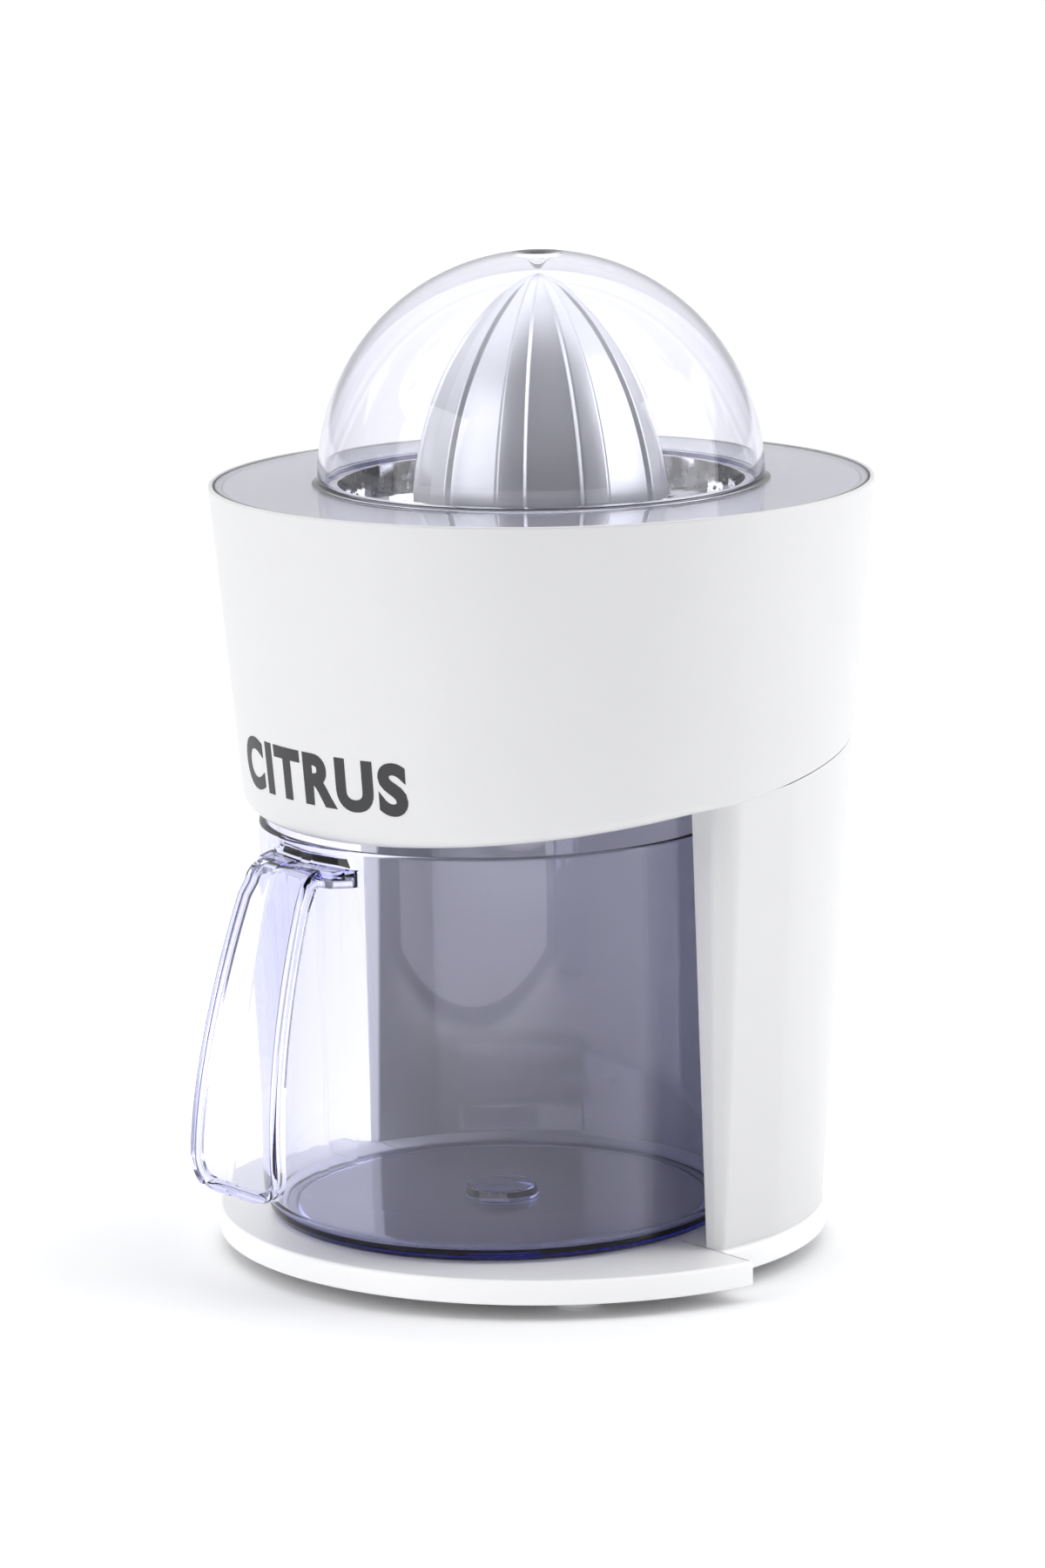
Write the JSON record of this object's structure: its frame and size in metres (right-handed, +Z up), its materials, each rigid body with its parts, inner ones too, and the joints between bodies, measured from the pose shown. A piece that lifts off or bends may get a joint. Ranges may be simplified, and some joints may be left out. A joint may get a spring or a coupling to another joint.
{
  "type": "citrus press juicer",
  "caption": "Round white citrus press juicer with a clear domed lid over a ribbed reamer and steel strainer, and a clear jug that slides out of a bay in the column.",
  "frame": {"origin": "the point on the table surface that lies straight below the reamer's axis", "axes": "+Z up along the reamer's axis, -Y to the front, where the jug's handle points, +Y to the column behind, +X to the right seen from the front"},
  "size_m": [0.176, 0.1905, 0.2595],
  "materials": {
    "white_shell": "white moulded plastic with a soft gloss",
    "foot_rubber": "pale grey rubber",
    "grommet_rubber": "pale soft plastic",
    "screw_steel": "zinc-plated screws",
    "plate_steel": "galvanised sheet",
    "lamination_steel": "stacked laminations",
    "copper_winding": "enamelled copper wire",
    "shaft_steel": "ground stainless steel",
    "bronze_bush": "sintered bronze",
    "switch_plastic": "black moulded plastic",
    "gear_plastic": "natural acetal",
    "pinion_brass": "turned brass",
    "bowl_plastic": "white moulded plastic",
    "polished_steel": "mirror-polished stainless steel",
    "reamer_plastic": "satin silver-grey plastic",
    "lid_clear": "clear plastic with a faint smoky tint",
    "jug_clear": "clear plastic with a smoky violet tint"
  },
  "bodies": {
    "housing": {"base_plate": "white_shell", "bottom_cover": "white_shell", "feet": "foot_rubber", "base_screws": "screw_steel", "rear_column": "white_shell", "cord_grommet": "grommet_rubber", "upper_housing": "white_shell", "housing_floor": "white_shell", "inner_cover": "white_shell", "cover_screws": "screw_steel", "gear_plate": "plate_steel", "plate_screws": "screw_steel", "motor_stator": "lamination_steel", "motor_coil": "copper_winding", "motor_bracket": "plate_steel", "motor_screws": "screw_steel", "gear_axle": "shaft_steel", "lower_bush": "bronze_bush", "upper_bush": "bronze_bush", "spindle_seal": "grommet_rubber", "micro_switch": "switch_plastic"},
    "switch_arm": {"switch_lever": "shaft_steel"},
    "plunger": {"thrust_pad": "gear_plastic", "return_spring": "shaft_steel"},
    "spindle": {"drive_spindle": "shaft_steel", "output_gear": "gear_plastic"},
    "idler": {"compound_gear": "gear_plastic"},
    "rotor": {"motor_rotor": "lamination_steel", "motor_pinion": "pinion_brass"},
    "bowl": {"juice_bowl": "bowl_plastic"},
    "strainer_basket": {"strainer": "polished_steel"},
    "cone": {"reamer": "reamer_plastic"},
    "clear_lid": {"lid_dome": "lid_clear", "lid_flange": "lid_clear"},
    "clear_jug": {"jug": "jug_clear"}
  },
  "joints": [
    {"name": "press_slide", "type": "slide", "parent": "housing", "child": "plunger", "axis": [0, 0, -1], "range_m": [0, 0.0025], "stiffness_N_per_m": 1500, "springref_m": -0.004, "deforming": ["return_spring"]},
    {"name": "lever_turn", "type": "hinge", "parent": "housing", "child": "switch_arm", "pos_m": [0.032, 0, 0.14655], "axis": [0, -1, 0], "range_deg": [0, 7]},
    {"name": "rotor_spin", "type": "hinge", "parent": "housing", "child": "rotor", "pos_m": [0, 0.04905, 0.15], "axis": [0, 0, 1], "continuous": true},
    {"name": "idler_spin", "type": "hinge", "parent": "housing", "child": "idler", "pos_m": [0, 0.0261, 0.168], "axis": [0, 0, 1], "continuous": true},
    {"name": "drive_spin", "type": "hinge", "parent": "plunger", "child": "spindle", "pos_m": [0, 0, 0.17], "axis": [0, 0, 1], "continuous": true},
    {"name": "bowl_lift", "type": "slide", "parent": "housing", "child": "bowl", "axis": [0, 0, 1], "range_m": [0, 0.085]},
    {"name": "strainer_lift", "type": "slide", "parent": "housing", "child": "strainer_basket", "axis": [0, 0, 1], "range_m": [0, 0.115]},
    {"name": "reamer_lift", "type": "slide", "parent": "spindle", "child": "cone", "axis": [0, 0, 1], "range_m": [0, 0.15]},
    {"name": "lid_lift", "type": "slide", "parent": "housing", "child": "clear_lid", "axis": [0, 0, 1], "range_m": [0, 0.22]},
    {"name": "jug_slide", "type": "slide", "parent": "housing", "child": "clear_jug", "axis": [0, -1, 0], "range_m": [0, 0.15]}
  ],
  "couplings": [
    {"joint": "idler_spin", "follows": "rotor_spin", "ratio": -0.21429},
    {"joint": "drive_spin", "follows": "rotor_spin", "ratio": 0.044643},
    {"joint": "lever_turn", "follows": "press_slide", "rad_per_m": 47.6},
    {"joint": "reamer_lift", "follows": "lid_lift", "ratio": 0.68},
    {"joint": "strainer_lift", "follows": "lid_lift", "ratio": 0.52},
    {"joint": "bowl_lift", "follows": "lid_lift", "ratio": 0.386}
  ]
}
